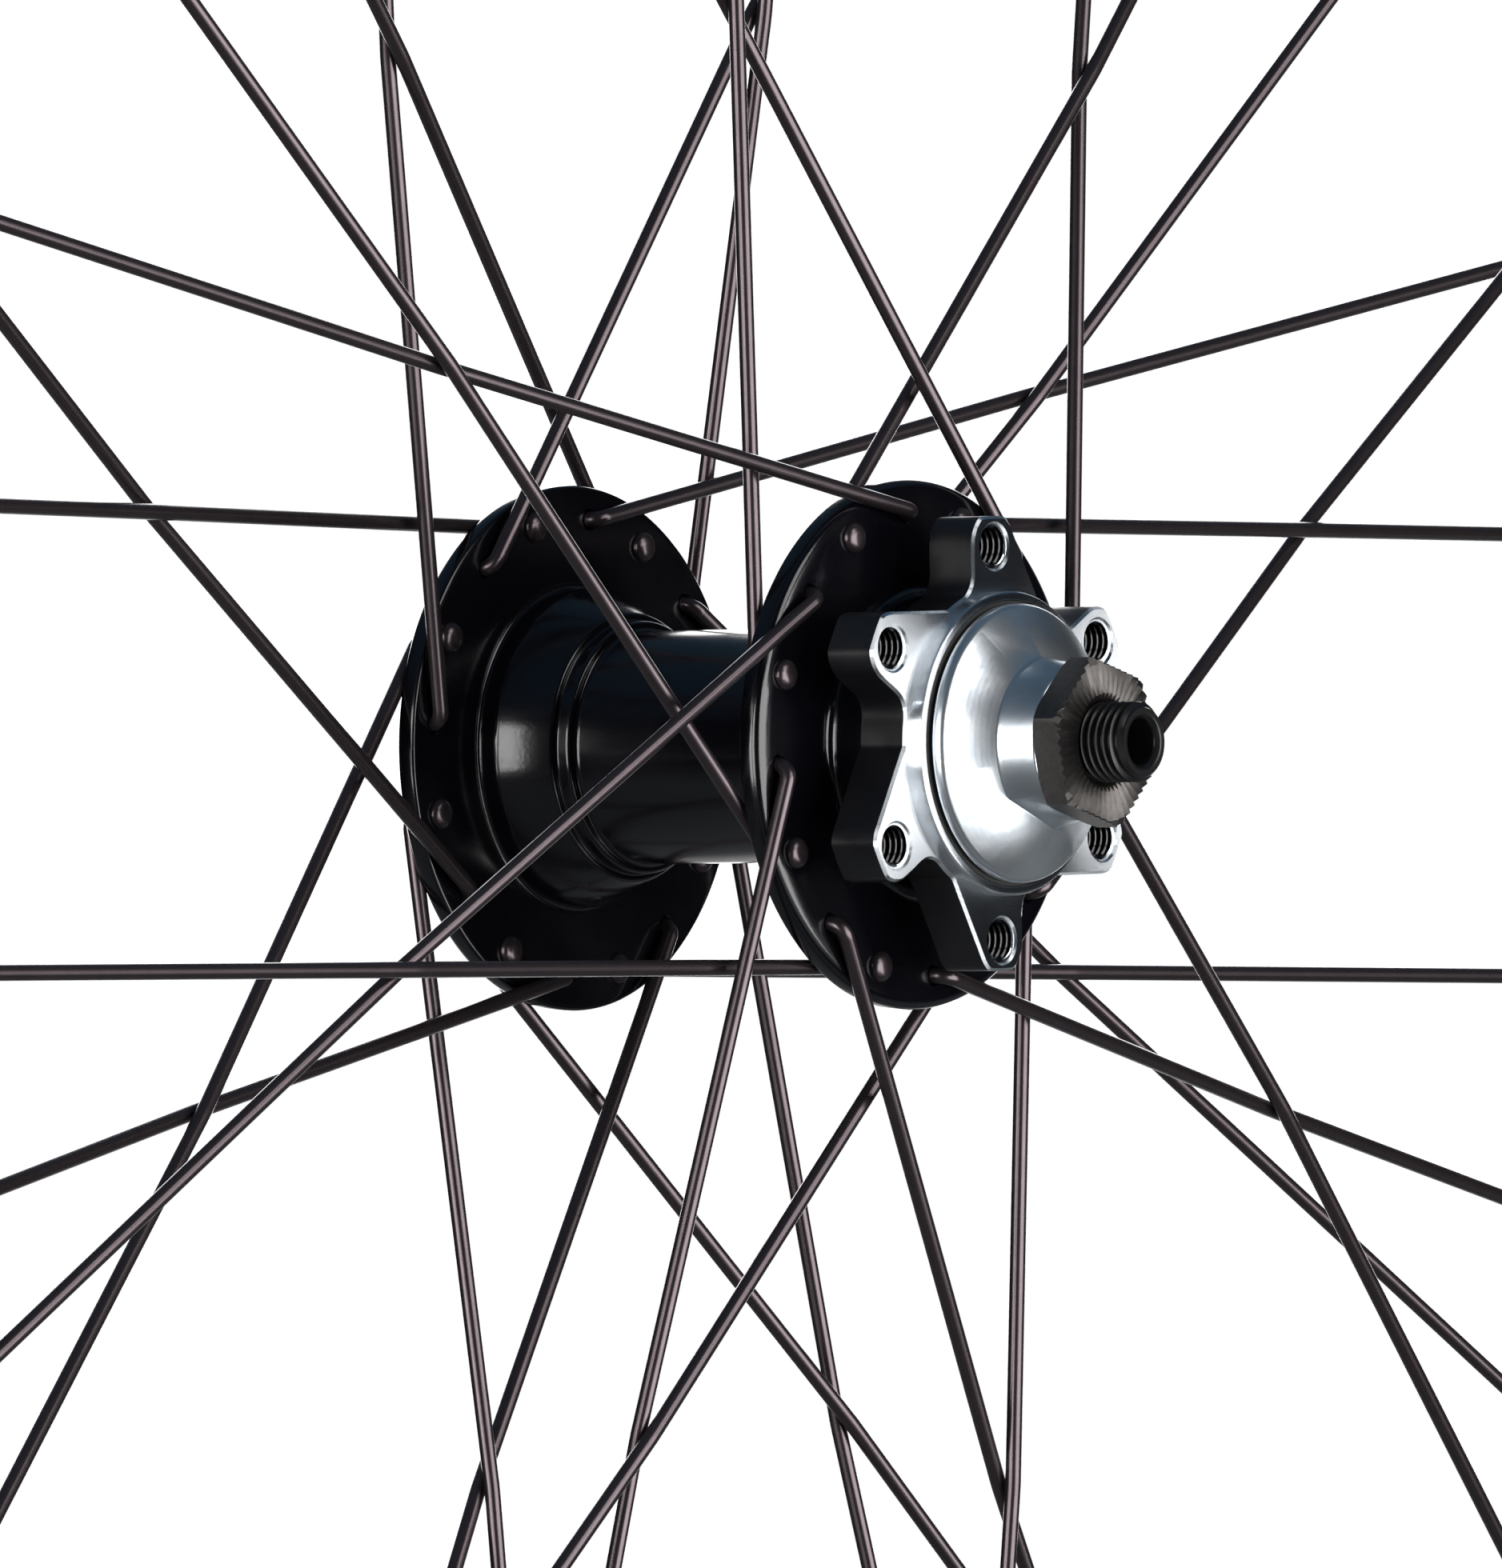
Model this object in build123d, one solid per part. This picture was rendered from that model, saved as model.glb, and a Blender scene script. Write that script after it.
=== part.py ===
"""Front bicycle wheel: six-bolt disc hub, 32 interlaced three-cross spokes and a 26-inch rim.

Millimetres. The origin is the wheel's centre, on the axle's axis and in the rim's middle plane.
+Y runs along the axle, away from the brake-disc side, and +Z is up. Angles are seen from the disc
side and turn from +X towards +Z. "out" is a distance from the rim's middle plane along the axle.
"""
import os
from math import cos, pi, radians, sin, sqrt, tan

from build123d import *

# Axle and its stack
over_locknuts = 92.0  # between the two faces that the fork clamps
disc_locknut_out = 48.5  # the face on the disc side
axle_end_length = 5.0  # axle standing out of each locknut
axle_end_chamfer = 0.7
axle_radius = 4.5  # thread crests, M9 x 1
axle_core_radius = 4.3  # pitch line of the thread, where it is engaged
axle_bore_radius = 2.6  # for a 5 mm skewer
bore_mouth_chamfer = 0.5
thread_clearance = 0.05

locknut_thickness = 3.8
locknut_across_flats = 17.0
locknut_corner_chamfer = 0.9
locknut_turn_angle = -16.5  # of a corner from +X

# Cone with its flared dust shield
shield_gap = 0.35  # from the end of the shell to the shield
shield_bead_radius = 15.6
shield_bead_length = 1.2
shield_flare_length = 3.7
cone_neck_radius = 8.9
cone_flat_across = 17.0  # wrench flats
cone_flat_length = 4.6
cone_flat_angle = -23.0  # of the flats from level
cone_collar_radius = 10.2  # runs in the seal's lip

# Bearing, with distances on the disc side
ball_radius = 2.381  # 3/16 inch balls
ball_count = 10
ball_circle_radius = 8.4
ball_out = 30.2  # ball centres
race_gap = 0.05
cone_nose_length = 1.7  # past the ball centres
cup_wall = 2.1
cup_floor = 1.3
cup_opening_radius = 6.6
cup_lip_length = 2.3
seat_gap = 0.03

seal_lip_gap = 0.25
seal_thickness = 2.0
seal_radius = 16.0

# Hub shell, with distances on the disc side
shell_end_out = 35.3
disc_face_out = 33.2  # where the brake disc sits
disc_plate_thickness = 6.4
register_radius = 17.0
disc_waist_radius = 17.3
disc_neck_radius = 16.8
disc_bolt_circle = 44.0
disc_bolt_count = 6
disc_hole_radius = 2.1  # M5 tapping drill
disc_lobe_radius = 4.0
disc_lobe_end = 3.4  # past the bolt circle, where the lobes are turned off
disc_lobe_lean = 30.0  # of a lobe's straight side from the lobe's own radius
disc_lobe_fillet = 3.0
disc_first_bolt_angle = 30.0

flange_margin = 3.7  # past the circle of the spoke holes
flange_thickness = 2.8
flange_bevel_drop = 0.75  # clears the spokes that lean inwards over the flange's edge
flange_bevel_width = 2.3
disc_flange_out = 20.85
far_flange_out = 27.95
boss_radius = 18.0  # foot of the flange, on the barrel's side
boss_length = 2.5
boss_cone_radius = 15.1
boss_cone_length = 5.8
boss_tail_radius = 14.3
boss_tail_length = 1.8
barrel_radius = 13.15
barrel_bore_radius = 10.4
far_neck_radius = 17.0

# Spokes and nipples
spokes_per_family = 8
spoke_radius = 0.9
spoke_hole_circle = 52.0
spoke_hole_radius = 1.3
first_spoke_angle = 4.0
spoke_turn_angle = 67.5  # from hub hole to rim hole, three cross
outer_run_offset = 3.05  # wire centre from the flange's middle, spokes outside the flange
inner_run_offset = 2.45
elbow_cut = 0.9
cross_gap = 0.1  # between two spokes where they are interlaced
spoke_head_radius = 1.75
spoke_head_height = 1.1
head_gap = 0.05

nipple_shank_radius = 2.0
nipple_length = 11.0
nipple_head_radius = 2.9
nipple_head_height = 2.4
nipple_head_lift = 0.45  # the head is tilted with its spoke and stands clear of the rim bed
nipple_bore_depth = 9.5
nipple_bore_gap = 0.04

# Rim, for tyres of bead diameter 559
bead_seat_radius = 279.5
rim_edge_height = 6.0  # above the bead seat
rim_well_depth = 11.5  # from the bead seat down to the bed that holds the nipples
well_side_depth = 6.5  # from the bead seat down to where the well's sides turn in
rim_width = 25.0
rim_wall = 1.9
bead_ledge_width = 1.5
bead_ledge_height = 2.5
bed_half_width = 6.5
nipple_hole_radius = 2.5
valve_hole_radius = 4.25  # car-type valve
valve_angle = 268.375

# Values worked out from the sizes above
disc_side = -1
far_side = 1
sides = {"disc_side": disc_side, "far_side": far_side}
far_step = 2 * disc_locknut_out - over_locknuts  # the far stack sits this much nearer the rim's plane
locknut_back_out = disc_locknut_out - locknut_thickness
axle_tip_out = disc_locknut_out + axle_end_length
shield_out = shell_end_out + shield_gap
race = ball_radius + race_gap
race_flat = race * tan(radians(22.5))  # half the length of a flat that touches the ball
cup_radius = ball_circle_radius + race + cup_wall
cup_floor_out = ball_out - race - cup_floor
cup_mouth_out = ball_out + cup_lip_length
seal_seat_out = shell_end_out - seal_thickness - race_gap
disc_lobe_reach = disc_bolt_circle / 2 + disc_lobe_end
flange_half = flange_thickness / 2
flange_radius = spoke_hole_circle / 2 + flange_margin
rim_edge_radius = bead_seat_radius + rim_edge_height
nipple_seat_radius = bead_seat_radius - rim_well_depth
well_side_radius = bead_seat_radius - well_side_depth
octagon = sqrt(pi / (2 * sqrt(2)))  # an octagon of this corner radius has a unit circle's area
wire_corner_radius = spoke_radius * octagon
run_centre = (outer_run_offset - inner_run_offset) / 2
hole_pitch = 360.0 / (4 * spokes_per_family)


def turned(points):
    """A solid of revolution about the axle, from (radius, y) points of its half section."""
    return revolve(make_face(Polyline(*points, close=True)), Axis.Y)


def stack_y(side, out):
    """Where a distance of the disc side's stack lies, on the disc side or the far side."""
    return side * (out - (far_step if side == far_side else 0.0))


def stack_points(side, points):
    return [(radius, stack_y(side, out)) for radius, out in points]


def turned_side(side, points):
    """A solid of revolution of one side's stack, from (radius, out) points."""
    return turned(stack_points(side, points))


def wheel_point(radius, angle, y):
    return Vector(radius * cos(radians(angle)), y, radius * sin(radians(angle)))


def around_axle(shape, angle):
    """Turn a shape about the axle, from +X towards +Z."""
    return Rot(0, -angle, 0) * shape


def cutter(section, circle, angle, middle_y, half_length):
    """A cutter parallel to the axle, on a circle about it."""
    plane = Plane(wheel_point(circle / 2, angle, middle_y), z_dir=(0, 1, 0))
    return extrude(plane * section, half_length, both=True)


def eight_flats(radius):
    """An octagon drawn round a circle, which keeps the many small holes to few faces."""
    return RegularPolygon(radius / cos(pi / 8), 8)


def axle():
    mouth = axle_bore_radius + bore_mouth_chamfer
    end = [
        (axle_core_radius, disc_locknut_out),
        (axle_radius, disc_locknut_out),
        (axle_radius, axle_tip_out - axle_end_chamfer),
        (axle_radius - axle_end_chamfer, axle_tip_out),
        (mouth, axle_tip_out),
        (axle_bore_radius, axle_tip_out - bore_mouth_chamfer),
    ]
    return turned(stack_points(far_side, end) + stack_points(disc_side, reversed(end)))


def cone(side):
    """Bearing cone, collar, flared dust shield and neck, turned in one, with two wrench flats."""
    bore = axle_core_radius + thread_clearance
    flare_out = shield_out + shield_bead_length
    neck_out = flare_out + shield_flare_length
    body = turned_side(
        side,
        [
            (bore, ball_out - cone_nose_length),
            (ball_circle_radius - race, ball_out - cone_nose_length),
            (ball_circle_radius - race, ball_out + race_flat),
            (ball_circle_radius - race_flat, ball_out + race),
            (cone_collar_radius, ball_out + race),
            (cone_collar_radius, shield_out),
            (shield_bead_radius, shield_out),
            (shield_bead_radius, flare_out),
            (cone_neck_radius, neck_out),
            (cone_neck_radius, locknut_back_out),
            (bore, locknut_back_out),
        ],
    )
    flat_y = stack_y(side, locknut_back_out - cone_flat_length / 2)
    waste = 2 * shield_bead_radius
    for up in (-1, 1):
        block = Pos(0, flat_y, up * (cone_flat_across + waste) / 2) * Box(2 * waste, cone_flat_length, waste)
        body -= around_axle(block, cone_flat_angle)
    return body


def locknut(side):
    """Hexagon nut with its corners turned off on both faces."""
    corner = locknut_across_flats / sqrt(3)
    low = min(stack_y(side, locknut_back_out), stack_y(side, disc_locknut_out))
    plane = Plane((0, low, 0), x_dir=(1, 0, 0), z_dir=(0, 1, 0))
    blank = extrude(plane * RegularPolygon(corner, 6), locknut_thickness)
    blank = around_axle(blank, locknut_turn_angle)
    turned_off = corner - locknut_corner_chamfer
    slope = locknut_corner_chamfer * tan(radians(30))
    envelope = turned_side(
        side,
        [
            (axle_core_radius + thread_clearance, locknut_back_out),
            (turned_off, locknut_back_out),
            (corner, locknut_back_out + slope),
            (corner, disc_locknut_out - slope),
            (turned_off, disc_locknut_out),
            (axle_core_radius + thread_clearance, disc_locknut_out),
        ],
    )
    return blank & envelope


def cup(side):
    """Pressed bearing cup. Its race is a cone that touches the balls at 45 degrees."""
    wall = ball_circle_radius + race
    return turned_side(
        side,
        [
            (cup_opening_radius, cup_floor_out),
            (cup_radius - seat_gap, cup_floor_out),
            (cup_radius - seat_gap, cup_mouth_out),
            (wall, cup_mouth_out),
            (wall, ball_out - race_flat),
            (ball_circle_radius + race_flat, ball_out - race),
            (cup_opening_radius, ball_out - race),
        ],
    )


def balls(side):
    """Loose balls. Each is a cube cut to 26 flats whose corners lie on the true sphere."""
    edge = ball_radius / sqrt(1.25 + 1 / sqrt(2))
    across = edge * (1 + sqrt(2))
    cube = Box(across, across, across)
    ball = chamfer(cube.edges(), (across - edge) / 2)
    places = [k * 360.0 / ball_count for k in range(ball_count)]
    return [around_axle(Pos(ball_circle_radius, stack_y(side, ball_out), 0) * ball, a) for a in places]


def seal(side):
    inner = cone_collar_radius + seal_lip_gap
    outer = seal_radius - seat_gap
    return turned_side(
        side,
        [
            (inner, seal_seat_out),
            (outer, seal_seat_out),
            (outer, seal_seat_out + seal_thickness),
            (inner, seal_seat_out + seal_thickness),
        ],
    )


def flange_outline(flange_out, outer_foot, inner_foot):
    """(radius, out) points over a flange, from its outer foot to its inner foot."""
    return [
        (outer_foot, flange_out + flange_half),
        (flange_radius - flange_bevel_width, flange_out + flange_half),
        (flange_radius, flange_out + flange_half - flange_bevel_drop),
        (flange_radius, flange_out - flange_half),
        (inner_foot, flange_out - flange_half),
    ]


def boss_outline(flange_out):
    """(radius, out) points from a flange's inner foot down to the barrel."""
    start = flange_out - flange_half - boss_length
    cone_end = start - boss_cone_length
    return [
        (boss_radius, start),
        (boss_cone_radius, cone_end),
        (boss_tail_radius, cone_end),
        (boss_tail_radius, cone_end - boss_tail_length),
        (barrel_radius, cone_end - boss_tail_length),
    ]


def pocket_outline():
    """(radius, out) points of one bearing pocket, from the end of the shell to the barrel's bore."""
    return [
        (seal_radius, shell_end_out),
        (seal_radius, seal_seat_out),
        (cup_radius, seal_seat_out),
        (cup_radius, cup_floor_out),
        (barrel_bore_radius, cup_floor_out),
    ]


def disc_star():
    """The six-lobed plate that carries the brake disc. One side of each lobe leans out to the waist."""
    plane = Plane((0, -disc_face_out, 0), x_dir=(1, 0, 0), z_dir=(0, 1, 0))
    bolt_radius = disc_bolt_circle / 2
    lean = radians(disc_lobe_lean)
    touch = (bolt_radius + disc_lobe_radius * sin(lean), disc_lobe_radius * cos(lean))
    foot = bolt_radius * sin(lean) + disc_lobe_radius  # the leaning side's distance from the axle
    root = (foot * sin(lean), foot * cos(lean))
    lobe = Pos(bolt_radius / 2, -disc_lobe_radius / 2) * Rectangle(bolt_radius, disc_lobe_radius)
    lobe += make_face(Polyline((0, 0), (bolt_radius, 0), touch, root, close=True))
    lobe += Pos(bolt_radius, 0) * Circle(disc_lobe_radius)
    outline = Circle(disc_waist_radius)
    for k in range(disc_bolt_count):
        outline += Rot(0, 0, -disc_first_bolt_angle - k * 360.0 / disc_bolt_count) * lobe
    corners = [v for v in outline.vertices() if v.center().length < disc_waist_radius * 1.001]
    outline = fillet(corners, disc_lobe_fillet)
    outline &= Circle(disc_lobe_reach)
    outline -= Circle((cup_radius + disc_neck_radius) / 2)
    return extrude(plane * outline, disc_plate_thickness)


def hub_shell():
    disc_half = [(register_radius, shell_end_out), (register_radius, disc_face_out)]
    disc_half += [(disc_neck_radius, disc_face_out)]
    disc_half += flange_outline(disc_flange_out, disc_neck_radius, boss_radius)
    disc_half += boss_outline(disc_flange_out)
    far_half = [(far_neck_radius, stack_y(far_side, shell_end_out))]
    far_half += flange_outline(far_flange_out, far_neck_radius, boss_radius)
    far_half += boss_outline(far_flange_out)
    outline = [(radius, disc_side * out) for radius, out in disc_half]
    outline += [(radius, far_side * out) for radius, out in reversed(far_half)]
    outline += stack_points(far_side, pocket_outline())
    outline += stack_points(disc_side, reversed(pocket_outline()))
    body = turned(outline) + disc_star()

    cutters = []
    bolt_hole = Circle(disc_hole_radius)
    plate_middle = disc_side * (disc_face_out - disc_plate_thickness / 2)
    for k in range(disc_bolt_count):
        angle = disc_first_bolt_angle + k * 360.0 / disc_bolt_count
        cutters.append(cutter(bolt_hole, disc_bolt_circle, angle, plate_middle, disc_plate_thickness))
    spoke_hole = eight_flats(spoke_hole_radius)
    holes = 2 * spokes_per_family
    for flange_y, shift in ((disc_side * disc_flange_out, 0.0), (far_side * far_flange_out, hole_pitch)):
        for k in range(holes):
            angle = first_spoke_angle + shift + k * 360.0 / holes
            cutters.append(cutter(spoke_hole, spoke_hole_circle, angle, flange_y, flange_thickness))
    return body - cutters


def spoke_line(side, flange_out, outside, angle, turn):
    """Where a spoke's centre line runs: hub hole, interlaced crossing and rim hole."""
    hub_radius = spoke_hole_circle / 2
    offset = outer_run_offset if outside else -inner_run_offset
    start = wheel_point(hub_radius, angle, side * (flange_out + offset))
    seat = wheel_point(nipple_seat_radius, angle + turn, 0)
    third = turn - hole_pitch if turn > 0 else turn + hole_pitch
    across = wheel_point(1.0, angle + third + 90.0, 0)
    share = start.dot(across) / (start - seat).dot(across)
    crossing = start + (seat - start) * share
    weave = wire_corner_radius + cross_gap / 2
    middle = (flange_out + run_centre) * (1 - share)
    crossing.Y = side * (middle - weave if outside else middle + weave)
    return start, crossing, seat


def spoke(side, flange_out, outside, angle, turn):
    """One wire from its head, through the flange and round the elbow, over the crossing to the nipple.

    The wire is drawn with eight flats of the round wire's section area.
    """
    start, crossing, seat = spoke_line(side, flange_out, outside, angle, turn)
    facing = side if outside else -side
    face_y = side * flange_out - facing * (flange_half + head_gap)
    head = Vector(start.X, face_y, start.Z)
    run = (crossing - start).normalized()
    end = seat - (seat - crossing).normalized() * (nipple_length - nipple_bore_depth)
    before = start - Vector(0, facing, 0) * elbow_cut
    path = Polyline(head, before, start + run * elbow_cut, crossing, end)
    section = Plane(head, z_dir=(0, facing, 0)) * RegularPolygon(wire_corner_radius, 8)
    wire = sweep(section, path=path, transition=Transition.RIGHT)
    head_plane = Plane(head, z_dir=(0, -facing, 0))
    button = extrude(head_plane * RegularPolygon(spoke_head_radius, 8), spoke_head_height, taper=20)
    return wire + button


def nipple(side, flange_out, outside, angle, turn):
    """Nipple with a blind bore for its spoke, in line with the spoke."""
    start, crossing, seat = spoke_line(side, flange_out, outside, angle, turn)
    inward = (crossing - seat).normalized()
    lifted = seat - inward * nipple_head_lift
    bore_radius = (wire_corner_radius + nipple_bore_gap) / cos(pi / 8)
    head_plane = Plane(lifted, z_dir=-inward)
    shank_plane = Plane(lifted, z_dir=inward)
    body = extrude(head_plane * RegularPolygon(nipple_head_radius, 8), nipple_head_height)
    body += extrude(shank_plane * RegularPolygon(nipple_shank_radius, 8), nipple_length)
    mouth = Plane(lifted + inward * nipple_length, z_dir=-inward)
    return body - extrude(mouth * RegularPolygon(bore_radius, 8), nipple_bore_depth)


def rim():
    """Single-wall rim: bed, splayed well sides, bead ledges and upright edges."""
    half = rim_width / 2
    bed = nipple_seat_radius - rim_wall
    inner_half = half - rim_wall
    right = [
        (bed, bed_half_width + rim_wall / 2),
        (well_side_radius - rim_wall / 2, half),
        (rim_edge_radius, half),
        (rim_edge_radius, inner_half),
        (bead_seat_radius, inner_half),
        (bead_seat_radius, inner_half - bead_ledge_width),
        (bead_seat_radius - bead_ledge_height, inner_half),
        (well_side_radius, inner_half),
        (nipple_seat_radius, bed_half_width),
    ]
    left = [(radius, -y) for radius, y in reversed(right)]
    ring = turned(right + left)
    cutters = []
    reach = 2 * rim_wall
    for k in range(4 * spokes_per_family):
        angle = first_spoke_angle + k * hole_pitch
        middle = wheel_point(nipple_seat_radius - rim_wall / 2, angle, 0)
        hole = Plane(middle, z_dir=wheel_point(1, angle, 0)) * eight_flats(nipple_hole_radius)
        cutters.append(extrude(hole, reach, both=True))
    middle = wheel_point(nipple_seat_radius - rim_wall / 2, valve_angle, 0)
    hole = Plane(middle, z_dir=wheel_point(1, valve_angle, 0)) * Circle(valve_hole_radius)
    cutters.append(extrude(hole, reach, both=True))
    return ring - cutters


# Four families of eight spokes: side, flange, outside its flange or not, first hole and lean
families = {
    "disc_outer": (disc_side, disc_flange_out, True, first_spoke_angle, spoke_turn_angle),
    "disc_inner": (disc_side, disc_flange_out, False, first_spoke_angle + 2 * hole_pitch, -spoke_turn_angle),
    "far_outer": (far_side, far_flange_out, True, first_spoke_angle + hole_pitch, spoke_turn_angle),
    "far_inner": (far_side, far_flange_out, False, first_spoke_angle + 3 * hole_pitch, -spoke_turn_angle),
}

parts = {"axle": axle(), "hub_shell": hub_shell(), "rim": rim()}
for name, side in sides.items():
    parts[name + "_cone"] = cone(side)
    parts[name + "_locknut"] = locknut(side)
    parts[name + "_cup"] = cup(side)
    parts[name + "_seal"] = seal(side)
    parts[name + "_balls"] = Compound(children=balls(side))
nipples = []
for name, place in families.items():
    wire = spoke(*place)
    cap = nipple(*place)
    for k in range(spokes_per_family):
        parts[f"spoke_{name}_{k + 1}"] = around_axle(wire, k * 360.0 / spokes_per_family)
        nipples.append(around_axle(cap, k * 360.0 / spokes_per_family))
parts["nipples"] = Compound(children=nipples)

os.makedirs("parts", exist_ok=True)
for name, shape in parts.items():
    export_step(shape, f"parts/{name}.step")
    print(f"{name}: {len(shape.solids())} solids, {shape.volume:.1f} mm3")
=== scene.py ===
# %% [markdown]
# # A front bicycle wheel with a six-bolt disc hub
#
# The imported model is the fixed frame: it has every piece at its real size and place. This lesson
# builds the finished surfaces around it, piece by piece, with Blender's mesh operators, and gives
# each one a finish made of nodes. +Y runs along the axle, away from the brake-disc side, and +Z is up.

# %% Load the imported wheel
from math import asin, atan2, cos, hypot, pi, radians, sin, sqrt, tan

import bmesh
import bpy
from mathutils import Matrix, Quaternion, Vector


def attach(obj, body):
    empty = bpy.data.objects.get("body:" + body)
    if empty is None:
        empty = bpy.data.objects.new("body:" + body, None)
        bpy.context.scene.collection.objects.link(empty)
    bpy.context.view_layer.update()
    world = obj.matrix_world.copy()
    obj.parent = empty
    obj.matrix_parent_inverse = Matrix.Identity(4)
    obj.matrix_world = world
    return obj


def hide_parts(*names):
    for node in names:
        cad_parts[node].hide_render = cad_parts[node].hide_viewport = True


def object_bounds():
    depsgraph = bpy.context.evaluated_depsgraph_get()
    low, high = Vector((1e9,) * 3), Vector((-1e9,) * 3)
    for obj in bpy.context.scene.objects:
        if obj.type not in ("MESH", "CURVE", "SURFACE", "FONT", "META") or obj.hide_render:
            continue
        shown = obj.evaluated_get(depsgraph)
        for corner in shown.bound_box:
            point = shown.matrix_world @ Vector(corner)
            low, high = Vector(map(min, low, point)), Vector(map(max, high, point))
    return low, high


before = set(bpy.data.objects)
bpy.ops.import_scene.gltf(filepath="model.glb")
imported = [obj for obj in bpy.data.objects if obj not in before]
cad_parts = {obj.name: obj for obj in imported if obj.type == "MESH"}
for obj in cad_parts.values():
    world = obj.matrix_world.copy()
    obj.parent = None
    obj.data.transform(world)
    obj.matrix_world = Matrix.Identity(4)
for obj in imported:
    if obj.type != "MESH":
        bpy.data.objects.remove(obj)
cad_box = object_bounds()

MM = 0.001
scene = bpy.context.scene
scene.view_settings.view_transform = "Standard"

# %% [markdown]
# ## Camera
#
# The photograph is a close view of the hub from the disc side, taken from some way off with a long
# lens. The bolt circle of the disc mount and the lines of the spokes fix where it was taken from.
# The camera gets that place, direction and roll, and a lens for a frame of 1877 by 1960 pixels, whose
# long side is the sensor's width.

# %% Set the camera
SENSOR_MM = 36.0
LENS_MM = 576.1
CAMERA_PLACE = Vector((-2.23645, -1.71985, 0.03041))
CAMERA_LOOK = Vector((0.79235, 0.60994, -0.01228))
CAMERA_ROLL = radians(-1.12)

camera_data = bpy.data.cameras.new("camera")
camera_data.sensor_width = SENSOR_MM
camera_data.lens = LENS_MM
camera_data.clip_end = 100.0
camera = bpy.data.objects.new("camera", camera_data)
scene.collection.objects.link(camera)
aim = CAMERA_LOOK.to_track_quat("-Z", "Y") @ Quaternion((0, 0, 1), CAMERA_ROLL)
camera.matrix_world = Matrix.LocRotScale(CAMERA_PLACE, aim, None)
scene.camera = camera
print("camera right", [round(x, 4) for x in aim @ Vector((1, 0, 0))])

# %% [markdown]
# ## Tools for finishes
#
# Colours are written as sRGB hex values, as a paint chart would give them, and turned to linear here.
# One small function adds a node, sets it up and links it, so that each finish below reads as a list
# of its nodes.

# %% Colour and node helpers
def colour(code):
    """A linear colour from an sRGB hex value such as "#8090a0"."""
    parts = [int(code[k:k + 2], 16) / 255 for k in (1, 3, 5)]
    return [c / 12.92 if c <= 0.04045 else ((c + 0.055) / 1.055) ** 2.4 for c in parts] + [1.0]


def add(tree, kind, inputs=None, **settings):
    """A new node. An input is a value or another node's output socket."""
    node = tree.nodes.new(kind)
    for key, value in settings.items():
        setattr(node, key, value)
    for key, value in (inputs or {}).items():
        if isinstance(value, bpy.types.NodeSocket):
            tree.links.new(value, node.inputs[key])
        else:
            node.inputs[key].default_value = value
    return node


def finish(name, base, **sockets):
    """A material with one Principled shader. Returns the material, its node tree and the shader."""
    material = bpy.data.materials.new(name)
    material.use_nodes = True
    tree = material.node_tree
    shader = tree.nodes["Principled BSDF"]
    shader.inputs["Base Color"].default_value = colour(base)
    for key, value in sockets.items():
        shader.inputs[key.replace("_", " ")].default_value = value
    return material, tree, shader


def per_metre(size_mm):
    """The texture scale that gives features of a size in millimetres."""
    return 1.0 / (size_mm * MM)


print("mid grey in linear light", round(colour("#808080")[0], 3))

# %% [markdown]
# ## Black anodised aluminium
#
# The hub shell is forged and turned aluminium, polished and dyed black under a hard clear oxide.
# To the eye that is a deep blue-black with a crisp gloss, a little softer where the turning left it
# so. The walls of the disc lobes are milled and not polished, so their gloss is softer still. The rim
# is the same alloy, extruded and bead-blasted, so its black is satin and slightly greyer.

# %% Anodised finishes
CLOUD_MM = 9.0
GRAIN_HEIGHT = 0.1 * MM


def anodised(name, base, roughness, spread, grain_mm, ior):
    """Dyed oxide on aluminium: dark and glossy, with roughness that wanders by spread."""
    material, tree, shader = finish(name, base, Roughness=roughness, IOR=ior)
    place = add(tree, "ShaderNodeTexCoord").outputs["Object"]
    cloud = add(tree, "ShaderNodeTexNoise", {"Vector": place, "Scale": per_metre(CLOUD_MM), "Detail": 3.0})
    gloss = add(tree, "ShaderNodeMapRange", {"Value": cloud.outputs["Fac"], "From Min": 0.3, "From Max": 0.7,
                                            "To Min": roughness - spread, "To Max": roughness + spread})
    tree.links.new(gloss.outputs["Result"], shader.inputs["Roughness"])
    grain = add(tree, "ShaderNodeTexNoise", {"Vector": place, "Scale": per_metre(grain_mm), "Detail": 2.0})
    bump = add(tree, "ShaderNodeBump", {"Height": grain.outputs["Fac"], "Strength": 0.06,
                                       "Distance": GRAIN_HEIGHT})
    tree.links.new(bump.outputs["Normal"], shader.inputs["Normal"])
    return material


hub_black = anodised("black_anodised_aluminium", "#040407", roughness=0.16, spread=0.03,
                     grain_mm=0.5, ior=1.5)
wall_black = anodised("black_anodised_milled_walls", "#07070a", roughness=0.34, spread=0.1,
                      grain_mm=1.2, ior=1.5)
rim_black = anodised("black_anodised_satin_rim", "#121215", roughness=0.38, spread=0.06,
                     grain_mm=0.35, ior=1.33)
print("made", hub_black.name, wall_black.name, rim_black.name)

# %% [markdown]
# ## Turned metals
#
# Where the brake disc sits, the black is cut away on a lathe and the bare aluminium shows, and the
# cone is turned steel with a bright plating. A lathe leaves fine rings about the axle, so light spreads
# across the rings and makes a bow tie on a flat face: bright to the left and the right, dark above and
# below. A tangent round the axle, turned by a quarter, and an anisotropic shader give that. The bump
# draws the rings themselves, a little coarser than the real ones so that they show, and on the plated
# cone a slow unevenness that breaks up its reflections.

# %% Turned finishes
QUARTER_TURN = 0.25
BLOTCH_MM = 4.0
WAVE_PERIOD = pi / 10  # length after which a wave texture of scale 1 repeats
RING_HEIGHT = 0.05 * MM
DENT_HEIGHT = 0.2 * MM


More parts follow.
